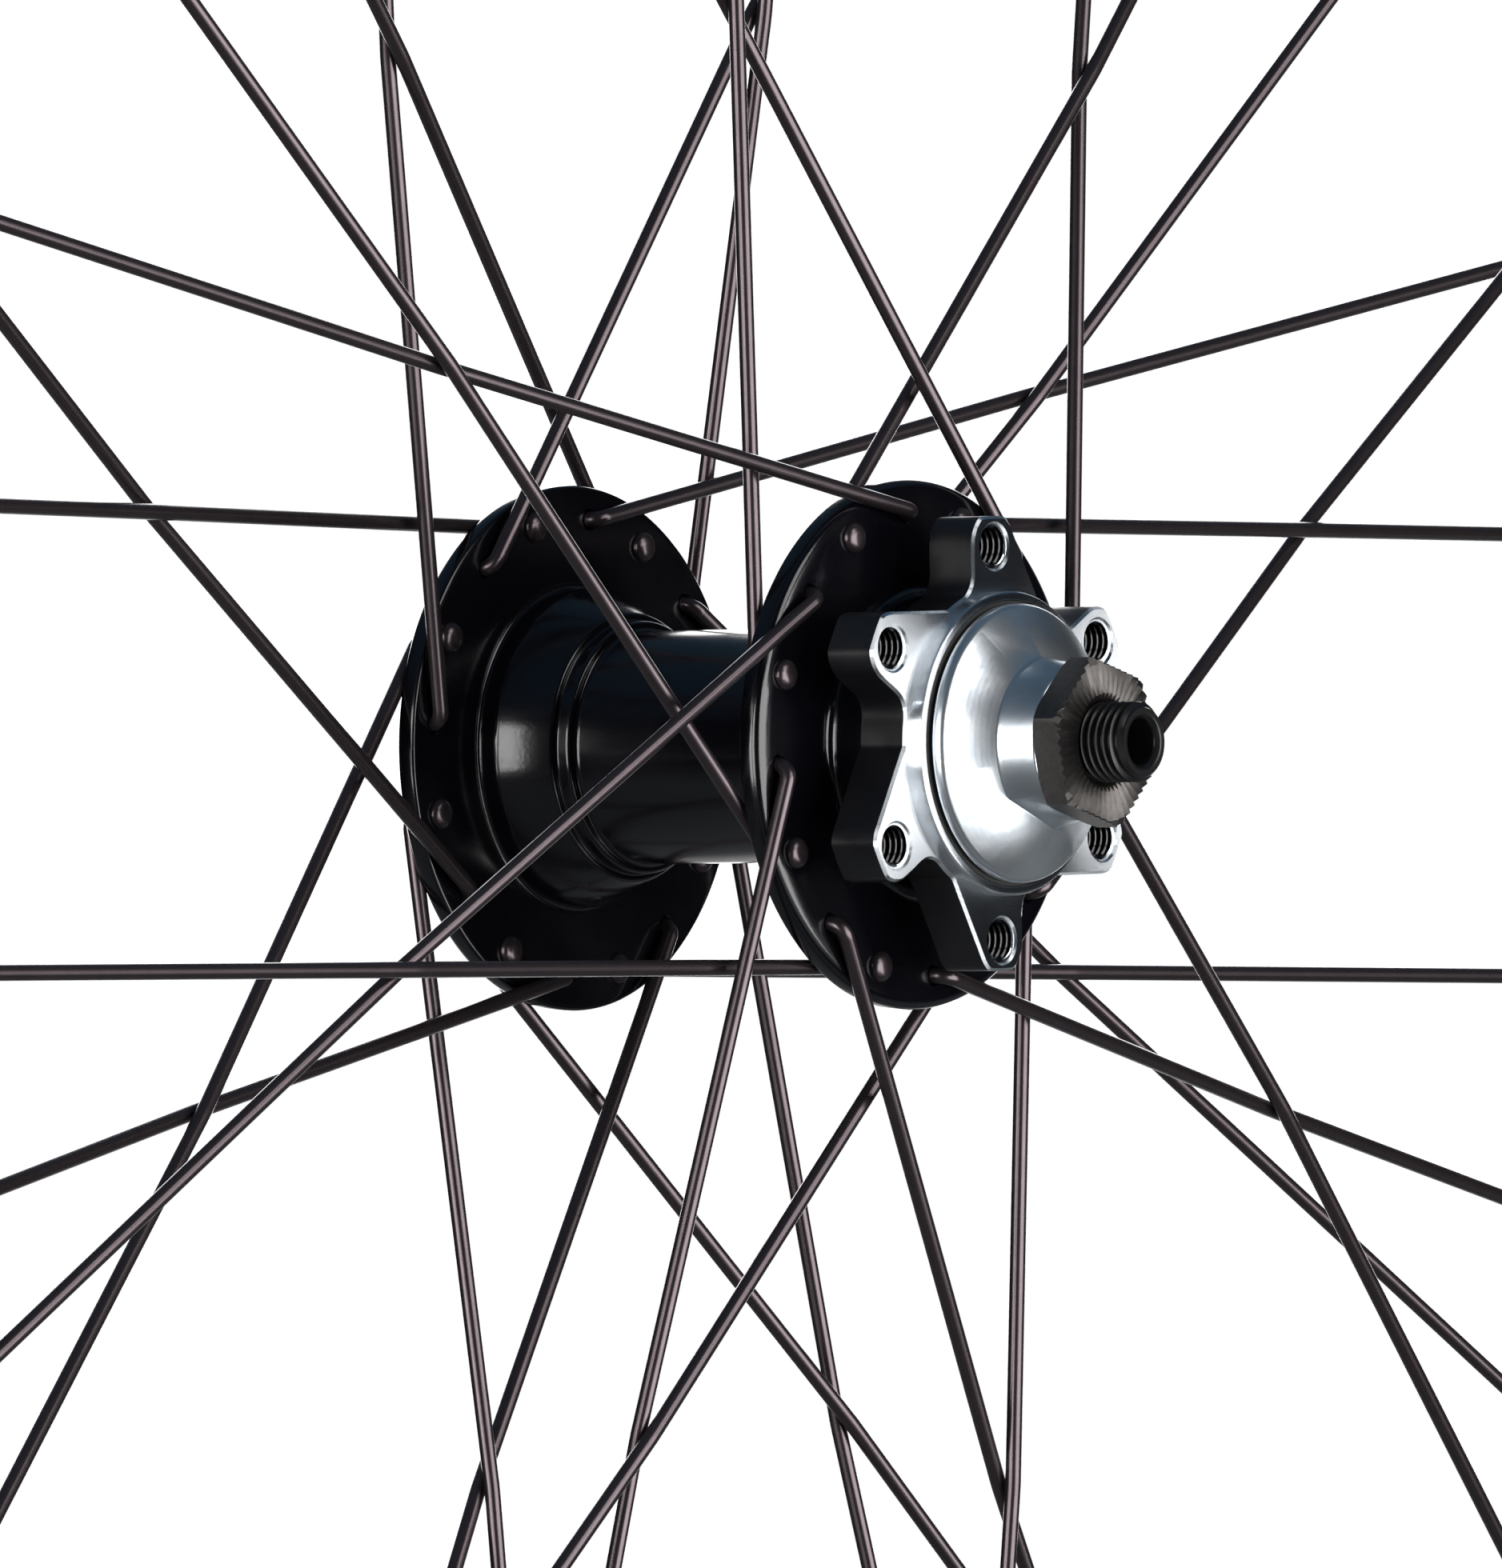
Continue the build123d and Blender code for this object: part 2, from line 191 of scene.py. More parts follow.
def turned_metal(name, base, blotch, roughness, anisotropy, ring_mm, ring_strength, dent_mm, dent_strength):
    """Lathe-turned metal: rings about the axle, a faint cloudiness of its tone and soft dents."""
    material, tree, shader = finish(name, base, Metallic=1.0, Roughness=roughness, Anisotropic=anisotropy,
                                    Anisotropic_Rotation=QUARTER_TURN)
    place = add(tree, "ShaderNodeTexCoord").outputs["Object"]
    around = add(tree, "ShaderNodeTangent", direction_type="RADIAL", axis="Y")
    tree.links.new(around.outputs["Tangent"], shader.inputs["Tangent"])
    tone = add(tree, "ShaderNodeTexNoise", {"Vector": place, "Scale": per_metre(BLOTCH_MM), "Detail": 4.0})
    shade = add(tree, "ShaderNodeMixRGB", {"Fac": tone.outputs["Fac"], "Color1": colour(base),
                                          "Color2": colour(blotch)})
    tree.links.new(shade.outputs["Color"], shader.inputs["Base Color"])
    rings = add(tree, "ShaderNodeTexWave", {"Vector": place, "Scale": per_metre(ring_mm) * WAVE_PERIOD,
                                           "Distortion": 0.4, "Detail": 1.0, "Detail Scale": 2.0},
                wave_type="RINGS", rings_direction="Y")
    turning = add(tree, "ShaderNodeBump", {"Height": rings.outputs["Fac"], "Strength": ring_strength,
                                          "Distance": RING_HEIGHT})
    dents = add(tree, "ShaderNodeTexNoise", {"Vector": place, "Scale": per_metre(dent_mm), "Detail": 3.0})
    bump = add(tree, "ShaderNodeBump", {"Height": dents.outputs["Fac"], "Strength": dent_strength,
                                       "Distance": DENT_HEIGHT, "Normal": turning.outputs["Normal"]})
    tree.links.new(bump.outputs["Normal"], shader.inputs["Normal"])
    return material


machined_bare = turned_metal("machined_bare_aluminium", "#eaedf0", "#d4dae0", roughness=0.26, anisotropy=0.99,
                             ring_mm=0.5, ring_strength=0.06, dent_mm=3.0, dent_strength=0.02)
cone_bright = turned_metal("bright_plated_turned_steel", "#f2f4f5", "#b9c6d1", roughness=0.28, anisotropy=0.0,
                           ring_mm=0.6, ring_strength=0.02, dent_mm=3.5, dent_strength=0.2)
print("made", machined_bare.name, cone_bright.name)

# %% [markdown]
# ## Dark steels, wire, brass and rubber
#
# The locknut's dark plating is a brownish grey with a dull shine, and the axle's black oxide is near
# black with a soft one. The spokes are drawn stainless wire with a black finish that is brown in the
# shade and lavender grey where light runs along it. Nipples are brass under a charcoal plating, the
# seals moulded rubber, black and matt, and the bearing parts ground steel, bright and nearly a mirror.
# Each is one tone that wanders a little, so one function makes them all.

# %% Dark steels, wire, brass and rubber
def mottled(name, base, other, size_mm, bump_strength, **sockets):
    """A finish whose tone wanders between two colours, with a bump of the same grain."""
    material, tree, shader = finish(name, base, **sockets)
    place = add(tree, "ShaderNodeTexCoord").outputs["Object"]
    grain = add(tree, "ShaderNodeTexNoise", {"Vector": place, "Scale": per_metre(size_mm), "Detail": 4.0})
    tone = add(tree, "ShaderNodeMixRGB", {"Fac": grain.outputs["Fac"], "Color1": colour(base),
                                         "Color2": colour(other)})
    tree.links.new(tone.outputs["Color"], shader.inputs["Base Color"])
    bump = add(tree, "ShaderNodeBump", {"Height": grain.outputs["Fac"], "Strength": bump_strength,
                                       "Distance": GRAIN_HEIGHT})
    tree.links.new(bump.outputs["Normal"], shader.inputs["Normal"])
    return material


nut_dark = mottled("dark_plated_steel", "#5e5b59", "#464341", 0.8, 0.12, Metallic=1.0, Roughness=0.36)
axle_black = mottled("black_oxide_steel", "#131315", "#0b0b0c", 1.2, 0.1, Metallic=0.3, Roughness=0.3)
wire_black = mottled("black_stainless_wire", "#51494c", "#453e41", 2.5, 0.005, Metallic=0.9, Roughness=0.27)
nipple_black = mottled("black_plated_brass", "#2a2727", "#1e1c1c", 0.7, 0.08, Metallic=0.9, Roughness=0.34)
seal_rubber = mottled("moulded_black_rubber", "#141414", "#0c0c0c", 0.5, 0.2, Roughness=0.72)
bearing_steel = mottled("ground_bearing_steel", "#c8cbd0", "#b4b8be", 1.5, 0.02, Metallic=1.0, Roughness=0.16)
print("made", nut_dark.name, axle_black.name, wire_black.name, nipple_black.name)

# %% [markdown]
# ## Tools for shapes
#
# Nearly everything on a hub was turned, so the main tool draws half sections and spins them about
# the axle. Corners are rounded on the flat section, by bevelling its vertices, which is cheaper and
# cleaner than bevelling the solid. A ring of edges can also be extruded step by step, each new ring
# put where a rule says, for shapes that are round only in part.

# %% Shape helpers
CORNER_STEPS = 4
WELD = 1e-6


def section(bm, points, closed=False):
    """Draws a half section: (radius, y) or (radius, y, corner cut) in millimetres."""
    corners = [bm.verts.new((p[0] * MM, p[1] * MM, 0)) for p in points]
    ends = corners[1:] + corners[:1] if closed else corners[1:]
    for a, b in zip(corners, ends):
        bm.edges.new((a, b))
    for corner, point in zip(corners, points):
        if len(point) == 3:
            bmesh.ops.bevel(bm, geom=[corner], offset=point[2] * MM, offset_type="OFFSET",
                            segments=CORNER_STEPS, profile=0.5, affect="VERTICES", material=-1)


def spin_section(bm, steps):
    """Spins all that is drawn, once round the axle."""
    bmesh.ops.spin(bm, geom=bm.verts[:] + bm.edges[:], cent=(0, 0, 0), axis=(0, 1, 0), dvec=(0, 0, 0),
                   angle=2 * pi, steps=steps, use_merge=True, use_duplicate=False)


def extend(bm, ring, place):
    """Extrudes a ring of edges and moves each new corner to place(corner). Returns the new ring."""
    made = bmesh.ops.extrude_edge_only(bm, edges=ring)["geom"]
    corners = {v for v in made if isinstance(v, bmesh.types.BMVert)}
    for corner in corners:
        corner.co = place(corner.co)
    return [e for e in made if isinstance(e, bmesh.types.BMEdge) and all(v in corners for v in e.verts)]


def ring_at(bm, matrix, radius, segments):
    """A circle of edges about a matrix's Z axis."""
    made = bmesh.ops.create_circle(bm, cap_ends=False, radius=radius * MM, segments=segments, matrix=matrix)
    return list({e for v in made["verts"] for e in v.link_edges})


def along_axle(x, y, z):
    """A matrix whose Z axis runs along the axle, at a place in metres."""
    return Matrix.Translation((x, y, z)) @ Matrix.Rotation(-pi / 2, 4, "X")


def fill_plane(bm, y):
    """Closes the open edges that lie in the plane at y, holes left out, with flat-shaded faces."""
    rims = [e for e in bm.edges if len(e.link_faces) == 1
            and all(abs(v.co.y - y * MM) < 2 * WELD for v in e.verts)]
    made = bmesh.ops.triangle_fill(bm, use_beauty=True, use_dissolve=False, edges=rims)["geom"]
    for face in made:
        if isinstance(face, bmesh.types.BMFace):
            face.smooth = False


def smooth(bm):
    """Shades every face smooth."""
    for face in bm.faces:
        face.smooth = True


def wheel_point(radius, angle, y):
    """A point about the axle: millimetres and degrees in, metres out."""
    return Vector((radius * cos(radians(angle)), y, radius * sin(radians(angle)))) * MM


def make_piece(name, bm, body, slot, materials, *nodes, sharp=35.0):
    """Welds a mesh, shades it, and hands it to the frame in place of its nodes."""
    bmesh.ops.remove_doubles(bm, verts=bm.verts, dist=WELD)
    bmesh.ops.recalc_face_normals(bm, faces=bm.faces)
    open_edges = sum(len(e.link_faces) != 2 for e in bm.edges)
    mesh = bpy.data.meshes.new(name)
    bm.to_mesh(mesh)
    bm.free()
    mesh.set_sharp_from_angle(angle=radians(sharp))
    obj = bpy.data.objects.new(name, mesh)
    scene.collection.objects.link(obj)
    for material in materials:
        mesh.materials.append(material)
    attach(obj, body)
    if nodes:
        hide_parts(*nodes)
    print(f"{name}: {len(mesh.polygons)} faces, {open_edges} open edges")


# %% [markdown]
# ## Screw threads
#
# A thread is one tooth of its section, carried round the screw's axis while it climbs by one pitch a
# turn. The spin operator does that when it is given a step along the axis, and neighbouring turns
# then meet and weld into one surface, which two flat cuts end cleanly.

# %% Screw thread
THREAD_STEPS = 40
LEAD_TURNS = 1.5
CUT_SNAP = 1e-7


def screw_thread(crest, root, pitch, low, high, limit=None):
    """A bmesh with a thread about the axle from y low to high. limit(y) caps its radius."""
    bm = bmesh.new()
    turns = int((high - low) / pitch + 2 * LEAD_TURNS)
    start = low - LEAD_TURNS * pitch
    tooth = ((root, 0.0), (root, 0.125), (crest, 0.4375), (crest, 0.5625), (root, 0.875), (root, 1.0))
    corners = [bm.verts.new((r * MM, (start + share * pitch) * MM, 0)) for r, share in tooth]
    for a, b in zip(corners, corners[1:]):
        bm.edges.new((a, b))
    steps = turns * THREAD_STEPS
    bmesh.ops.spin(bm, geom=bm.verts[:] + bm.edges[:], cent=(0, 0, 0), axis=(0, 1, 0),
                   dvec=(0, pitch * MM / THREAD_STEPS, 0), angle=2 * pi * turns, steps=steps,
                   use_merge=False, use_duplicate=False)
    bmesh.ops.remove_doubles(bm, verts=bm.verts, dist=WELD)
    for y, outward in ((low, -1), (high, 1)):
        bmesh.ops.bisect_plane(bm, geom=bm.verts[:] + bm.edges[:] + bm.faces[:], dist=CUT_SNAP,
                               plane_co=(0, y * MM, 0), plane_no=(0, outward, 0), clear_outer=True)
    if limit:
        for v in bm.verts:
            radius = hypot(v.co.x, v.co.z)
            share = min(1.0, limit(v.co.y / MM) * MM / radius)
            v.co.x *= share
            v.co.z *= share
    return bm


def add_mesh(bm, other, matrix=Matrix.Identity(4)):
    """Adds another bmesh, moved by a matrix, and frees it."""
    bmesh.ops.transform(other, matrix=matrix, verts=other.verts)
    mesh = bpy.data.meshes.new("joined")
    other.to_mesh(mesh)
    other.free()
    bm.from_mesh(mesh)
    bpy.data.meshes.remove(mesh)


# %% [markdown]
# ## Hub shell
#
# The shell is one forging, turned all over: a barrel that swells into two bosses, a flange on each
# for the spokes, and on the disc side a neck with a six-lobed plate. Its turned bands are half
# sections spun together in one go. The flat faces between them have holes, so those are filled as
# planes around ready-made hole rims. The lobed plate is a ring whose radius follows a rule.

# %% Hub sizes and turned bands
HUB_STEPS = 192
FAR_STEP = 5.0
SHELL_END = 35.3
DISC_FACE = 33.2
DISC_BACK = 26.8
REGISTER = 17.0
POCKET_MOUTH = 16.0
DISC_NECK = 16.8
FAR_NECK = 17.0
FLANGE_OUT = {-1: 20.85, 1: 27.95}
FLANGE_HALF = 1.4
FLANGE_RADIUS = 29.7


def stack_y(side, out):
    """Where a distance of the disc side's stack lies. The far stack sits a step nearer the middle."""
    return side * (out - (FAR_STEP if side > 0 else 0.0))


def on_stack(side, points):
    """Section points of the disc side's stack, placed on one side."""
    return [(r, stack_y(side, out), *cut) for r, out, *cut in points]


def on_flange(side, points):
    """Section points beside a flange, placed on one side."""
    return [(r, side * y, *cut) for r, y, *cut in points]


def flange_edge(side):
    """Half section over a flange's edge, rounded down on the outer face."""
    outer = FLANGE_OUT[side] + FLANGE_HALF
    inner = FLANGE_OUT[side] - FLANGE_HALF
    points = [(27.36, outer), (28.7, outer - 0.08), (29.2, outer - 0.28), (29.5, outer - 0.6),
              (29.65, outer - 1.0), (FLANGE_RADIUS, outer - 1.4), (FLANGE_RADIUS, inner, 0.45), (28.9, inner)]
    return on_flange(side, points)


def boss(side):
    """Half section from a flange's inner foot down to the barrel."""
    inner = FLANGE_OUT[side] - FLANGE_HALF
    points = [(18.9, inner), (18.0, inner, 0.6), (18.0, inner - 2.5, 0.4), (15.1, inner - 8.3, 0.35),
              (14.3, inner - 8.3, 0.3), (14.3, inner - 10.1, 0.5), (13.15, inner - 10.1, 0.6)]
    return on_flange(side, points)


def pocket(side):
    """Half section of a bearing pocket, from the shell's end down to the bore."""
    points = [(POCKET_MOUTH, SHELL_END, 0.15), (POCKET_MOUTH, 33.25), (12.93, 33.25), (12.93, 26.47),
              (10.4, 26.47)]
    return on_stack(side, points)


far_outer = FLANGE_OUT[1] + FLANGE_HALF
disc_outer = FLANGE_OUT[-1] + FLANGE_HALF
shell = bmesh.new()
section(shell, [(REGISTER, -DISC_FACE), (REGISTER, -SHELL_END, 0.4)] + pocket(-1) + pocket(1)[::-1]
        + [(FAR_NECK, stack_y(1, SHELL_END), 0.3), (FAR_NECK, far_outer, 0.4), (18.3, far_outer)])
section(shell, flange_edge(1))
section(shell, boss(1) + boss(-1)[::-1])
section(shell, flange_edge(-1))
section(shell, [(18.2, -disc_outer), (DISC_NECK, -disc_outer, 1.2), (DISC_NECK, -DISC_BACK)])
spin_section(shell, HUB_STEPS)
print("turned bands", len(shell.faces))

# %% [markdown]
# The plate's outline is six lobes with round ends, turned off to one outer circle. One side of each
# lobe comes down to the round waist in a hollow fillet, and the other leans out in a straight line.
# All of it is star-shaped about the axle, so one radius for each angle is enough, and drawing the
# same outline a little smaller gives the chamfers.

# %% Lobed disc plate
PLATE_STEPS = 360
BOLT_CIRCLE = 22.0
BOLT_ANGLES = [30.0 + 60.0 * k for k in range(6)]
LOBE_HALF = 4.0
LOBE_REACH = 25.4
LOBE_LEAN = radians(30.0)
WAIST = 17.3
LOBE_FILLET = 3.0
PLATE_CHAMFER = 0.3
START_RADIUS = 20.0  # of the circle that becomes the outline


def plate_radius(angle, inset):
    """The plate's radius at an angle in degrees, for an outline drawn inset from the edge."""
    off = radians((angle - BOLT_ANGLES[0] + 30.0) % 60.0 - 30.0)
    half = LOBE_HALF - inset
    waist = WAIST - inset
    fillet = LOBE_FILLET + inset
    centre = waist + fillet
    turn = asin((half + fillet) / centre)
    if off > turn:
        return waist
    if off > atan2(half, centre * cos(turn)):
        return centre * cos(off - turn) - sqrt(fillet ** 2 - (centre * sin(off - turn)) ** 2)
    if off > atan2(half, BOLT_CIRCLE):
        return half / sin(off)
    if off < -atan2(half * cos(LOBE_LEAN), BOLT_CIRCLE + half * sin(LOBE_LEAN)):
        return max(waist, (BOLT_CIRCLE * sin(LOBE_LEAN) + half) / sin(LOBE_LEAN - off))
    round_end = BOLT_CIRCLE * cos(off) + sqrt(half ** 2 - (BOLT_CIRCLE * sin(off)) ** 2)
    return min(round_end, LOBE_REACH - inset)


def plate_corner(inset, out):
    """Where a corner of the plate's outline goes."""
    def place(corner):
        angle = atan2(corner.z, corner.x)
        radius = plate_radius(angle * 180 / pi, inset) * MM
        return Vector((radius * cos(angle), -out * MM, radius * sin(angle)))
    return place


outline = ring_at(shell, along_axle(0, 0, 0), START_RADIUS, PLATE_STEPS)
put = plate_corner(PLATE_CHAMFER, DISC_FACE)
for corner in {v for e in outline for v in e.verts}:
    corner.co = put(corner.co)
for inset, out in ((0, DISC_FACE - PLATE_CHAMFER), (0, DISC_BACK + PLATE_CHAMFER),
                   (PLATE_CHAMFER, DISC_BACK)):
    outline = extend(shell, outline, plate_corner(inset, out))
print("plate outline", len(outline), "edges")

# %% [markdown]
# The six bolt holes are tapped, so between a countersink at each end their walls are threads. The
# 32 spoke holes are plain, with their edges broken for the spokes' elbows.

# %% Holes
TAP_CREST, TAP_ROOT, TAP_PITCH = 2.1, 2.5, 0.8
TAP_MOUTH = TAP_ROOT + 0.06
BOLT_HOLE_SIDES, SPOKE_HOLE_SIDES = 32, 24
SINK_RADIUS, SINK_DEPTH = 2.8, 0.25
HOLE_CIRCLE = 26.0
SPOKE_HOLE, SPOKE_HOLE_MOUTH, MOUTH_DEPTH = 1.12, 1.3, 0.22
SPOKES = 32
PITCH = 360.0 / SPOKES
FIRST_SPOKE = 4.0
FIRST_HOLE = {-1: FIRST_SPOKE, 1: FIRST_SPOKE + PITCH}


def hole(bm, x, z, rings, segments):
    """A ring of hole wall through (radius, y) rings about a line along the axle."""
    matrix = along_axle(x, rings[0][1] * MM, z)
    ring = ring_at(bm, matrix, rings[0][0], segments)
    for before, (radius, y) in zip(rings, rings[1:]):
        share = radius / before[0]
        ring = extend(bm, ring, lambda c: Vector((x + (c.x - x) * share, y * MM, z + (c.z - z) * share)))


for angle in BOLT_ANGLES:
    centre = wheel_point(BOLT_CIRCLE, angle, 0)
    front, back = -DISC_FACE + SINK_DEPTH, -DISC_BACK - SINK_DEPTH
    hole(shell, centre.x, centre.z, [(SINK_RADIUS, -DISC_FACE), (TAP_MOUTH, front)], BOLT_HOLE_SIDES)
    hole(shell, centre.x, centre.z, [(TAP_MOUTH, back), (SINK_RADIUS, -DISC_BACK)], BOLT_HOLE_SIDES)
    add_mesh(shell, screw_thread(TAP_CREST, TAP_ROOT, TAP_PITCH, front, back), Matrix.Translation(centre))
for side in (-1, 1):
    faces = [side * (FLANGE_OUT[side] + s * FLANGE_HALF) for s in (1, -1)]
    for k in range(SPOKES // 2):
        centre = wheel_point(HOLE_CIRCLE, FIRST_HOLE[side] + 2 * PITCH * k, 0)
        rings = [(SPOKE_HOLE_MOUTH, faces[0]), (SPOKE_HOLE, faces[0] - side * MOUTH_DEPTH),
                 (SPOKE_HOLE, faces[1] + side * MOUTH_DEPTH), (SPOKE_HOLE_MOUTH, faces[1])]
        hole(shell, centre.x, centre.z, rings, SPOKE_HOLE_SIDES)
smooth(shell)
for y in (-DISC_FACE, -DISC_BACK, front, back, -disc_outer, far_outer,
          -(FLANGE_OUT[-1] - FLANGE_HALF), FLANGE_OUT[1] - FLANGE_HALF):
    fill_plane(shell, y)
print("shell faces", len(shell.faces))

# %% [markdown]
# The plate's front, its chamfer and the register ring are turned bare, and the plate's outer walls are
# milled. Splitting the shell for that would leave seams, so the mesh stays whole and each face takes
# its finish from where its middle lies.

# %% Machined faces, milled walls and the finished shell
WALL_DEPTH = 0.4
FACE_SLACK = 0.02

for face in shell.faces:
    middle = face.calc_center_median() / MM
    radius = hypot(middle.x, middle.z)
    near_face = middle.y < -DISC_FACE + PLATE_CHAMFER + FACE_SLACK and radius > POCKET_MOUTH
    to_edge = plate_radius(atan2(middle.z, middle.x) * 180 / pi, 0) - radius
    on_wall = -DISC_FACE < middle.y < -DISC_BACK and to_edge < WALL_DEPTH
    face.material_index = 1 if near_face else 2 if on_wall else 0
make_piece("hub_body", shell, "wheel", "hub_alloy", [hub_black, machined_bare, wall_black], "hub_shell")

# %% [markdown]
# ## Axle
#
# A hollow steel axle, threaded from end to end. Only its ends show, so only they have the thread,
# which a chamfer cuts off at the tip, and a countersink opens the bore.

# %% Axle
AXLE_TIP = 53.5
AXLE_CREST, AXLE_ROOT, AXLE_PITCH = 4.5, 3.9, 1.0
AXLE_CHAMFER = 0.75
TIP_RADIUS = 3.8
THREAD_FROM = 46.5
CORE = [(3.8, THREAD_FROM), (4.25, THREAD_FROM)]
MOUTH = [(3.5, AXLE_TIP), (3.1, AXLE_TIP, 0.12), (2.6, AXLE_TIP - 0.6, 0.15)]
AXLE_STEPS = 64

rod = bmesh.new()
for half in (CORE, MOUTH):
    section(rod, on_stack(-1, half) + on_stack(1, half)[::-1])
spin_section(rod, AXLE_STEPS)
smooth(rod)

for side in (-1, 1):
    tip, root = stack_y(side, AXLE_TIP), stack_y(side, THREAD_FROM)

    def tip_limit(y):
        """The chamfer's radius, which caps the thread near the tip."""
        return min(AXLE_CREST, TIP_RADIUS + abs(tip - y) * (AXLE_CREST - TIP_RADIUS) / AXLE_CHAMFER)

    add_mesh(rod, screw_thread(AXLE_CREST, AXLE_ROOT, AXLE_PITCH, min(tip, root), max(tip, root), tip_limit))
    fill_plane(rod, tip)
    fill_plane(rod, root)
make_piece("threaded_axle", rod, "axle_set", "axle_steel", [axle_black], "axle", sharp=25.0)

# %% [markdown]
# ## Cones
#
# Each cone is turned in one: the race that the balls run on, a collar in the seal, a flared shield
# with a rounded edge that covers the bearing, and a neck with two wrench flats. The flats are cut by
# splitting the mesh along their planes, taking the waste away and closing what is left open.

# %% Cones
SIDES = (("disc_side", -1), ("far_side", 1))
CONE_END = 44.7
FLAT_HALF = 8.5
FLAT_FROM = 40.1
FLAT_ANGLE = radians(-23.0)
CONE_STEPS = 160


def cone_section(side):
    """Section of a cone, from its bore over the race, the collar and the shield to the neck."""
    points = [(4.36, 28.5), (5.97, 28.5), (5.97, 31.2), (7.39, 32.63), (10.2, 32.63), (10.2, 35.65),
              (15.6, 35.65, 0.2), (15.6, 36.85, 0.6), (9.72, FLAT_FROM), (9.5, 40.5, 0.2),
              (8.62, CONE_END, 0.35), (4.36, CONE_END)]
    return on_stack(side, points)


def cut_flats(bm, side):
    """Cuts the two wrench flats, on opposite sides, from the shoulder to the cone's end."""
    shoulder = stack_y(side, FLAT_FROM) * MM
    for up in (-1, 1):
        facing = Vector((-sin(FLAT_ANGLE), 0, cos(FLAT_ANGLE))) * up
        bmesh.ops.bisect_plane(bm, geom=bm.verts[:] + bm.edges[:] + bm.faces[:], dist=CUT_SNAP,
                               plane_co=facing * FLAT_HALF * MM, plane_no=facing)
        waste = [f for f in bm.faces if f.calc_center_median().dot(facing) > FLAT_HALF * MM
                 and (f.calc_center_median().y - shoulder) * side > 0]
        bmesh.ops.delete(bm, geom=waste, context="FACES")
        on_flat = {v for v in bm.verts if abs(v.co.dot(facing) - FLAT_HALF * MM) < WELD}
        bm.edges.new([v for v in on_flat if abs(v.co.y - shoulder) < WELD])
        rims = [e for e in bm.edges if len(e.link_faces) < 2]
        arc = [e for e in rims if all(abs(v.co.y - shoulder) < WELD for v in e.verts)]
        flat = [e for e in rims if all(v in on_flat for v in e.verts)]
        for loop in (arc, flat):
            for face in bmesh.ops.contextual_create(bm, geom=loop)["faces"]:
                face.smooth = False


for name, side in SIDES:
    cone = bmesh.new()
    section(cone, cone_section(side), closed=True)
    spin_section(cone, CONE_STEPS)
    smooth(cone)
    cut_flats(cone, side)
    make_piece(name + "_bearing_cone", cone, "axle_set", "cone_steel", [cone_bright], name + "_cone")

# %% [markdown]
# ## Locknuts
#
# A hexagon nut with its corners turned off and a face of radial teeth that bites the fork. The nut is
# a set of rings, each with one corner for every quarter of a tooth: the hexagon, the turned-off
# corners and the teeth are rules for where those corners go.

# %% Locknuts
NUT_HALF = 8.5
NUT_BACK, NUT_FACE = CONE_END, 48.5
NUT_TURN = -16.5
NUT_TURNED = 8.95
NUT_BORE = 4.56
TEETH = 48
TOOTH_DEPTH = 0.4
CORNER_SLOPE = tan(radians(30))
EDGE_CUT = 0.12
TOOTH_FOOT, FOOT_SHARE = 5.5, 0.85
HOLLOW, HOLLOW_DEPTH = 5.0, 0.35


def nut_ring(side, radius, out):
    """Puts a corner at radius(angle) and out(angle), with the angle in degrees."""
    def place(corner):
        angle = atan2(corner.z, corner.x)
        degrees = angle * 180 / pi
        r = radius(degrees) * MM
        return Vector((r * cos(angle), stack_y(side, out(degrees)) * MM, r * sin(angle)))
    return place


def hexagon(degrees):
    """The hexagon's radius at an angle."""
    return NUT_HALF / cos(radians((degrees - NUT_TURN) % 60.0 - 30.0))


def turned_hexagon(degrees):
    """The radius where the corners are turned off."""
    return min(hexagon(degrees), NUT_TURNED)


def corner_drop(degrees):
    """How far the turned-off corners fall back from the nut's ends."""
    return (hexagon(degrees) - turned_hexagon(degrees)) * CORNER_SLOPE


def tooth(degrees):
    """How far the toothed face lies below its crests."""
    return TOOTH_DEPTH * abs((degrees * TEETH / 360.0) % 1.0 - 0.5) * 2


NUT_RINGS = (
    (turned_hexagon, lambda a: NUT_BACK),
    (hexagon, lambda a: NUT_BACK + corner_drop(a)),
    (hexagon, lambda a: NUT_FACE - max(corner_drop(a), EDGE_CUT) - tooth(a)),
    (lambda a: turned_hexagon(a) - EDGE_CUT, lambda a: NUT_FACE - tooth(a)),
    (lambda a: TOOTH_FOOT, lambda a: NUT_FACE - tooth(a) * FOOT_SHARE),
    (lambda a: HOLLOW, lambda a: NUT_FACE - TOOTH_DEPTH),
    (lambda a: NUT_BORE, lambda a: NUT_FACE - TOOTH_DEPTH - HOLLOW_DEPTH),
    (lambda a: NUT_BORE, lambda a: NUT_BACK),
)
for name, side in SIDES:
    nut = bmesh.new()
    ring = ring_at(nut, along_axle(0, stack_y(side, NUT_BACK) * MM, 0), NUT_BORE, TEETH * 4)
    for radius, out in NUT_RINGS:
        ring = extend(nut, ring, nut_ring(side, radius, out))
    make_piece(name + "_toothed_locknut", nut, "axle_set", "locknut_steel", [nut_dark], name + "_locknut",
               sharp=20.0)

# %% [markdown]
# ## Seals, cups and balls
#
# A rubber seal closes each end of the shell behind the shield. The pressed cups stay as the frame has
# them, with a finish, and the balls become true spheres that roll with their own body.

# %% Seals, cups and balls
BALL_RADIUS = 2.381
BALL_CIRCLE = 8.4
BALL_OUT = 30.2
BALLS = 10
BALL_SIDES, BALL_RINGS = 20, 12
SEAL_STEPS = 96
SEAL_SECTION = [(10.45, 33.3), (15.97, 33.3), (15.97, 35.25, 0.25), (14.2, 35.25, 0.2), (13.6, 34.7, 0.2),
                (11.6, 34.7, 0.2), (11.0, 35.25, 0.2), (10.45, 35.25, 0.2)]

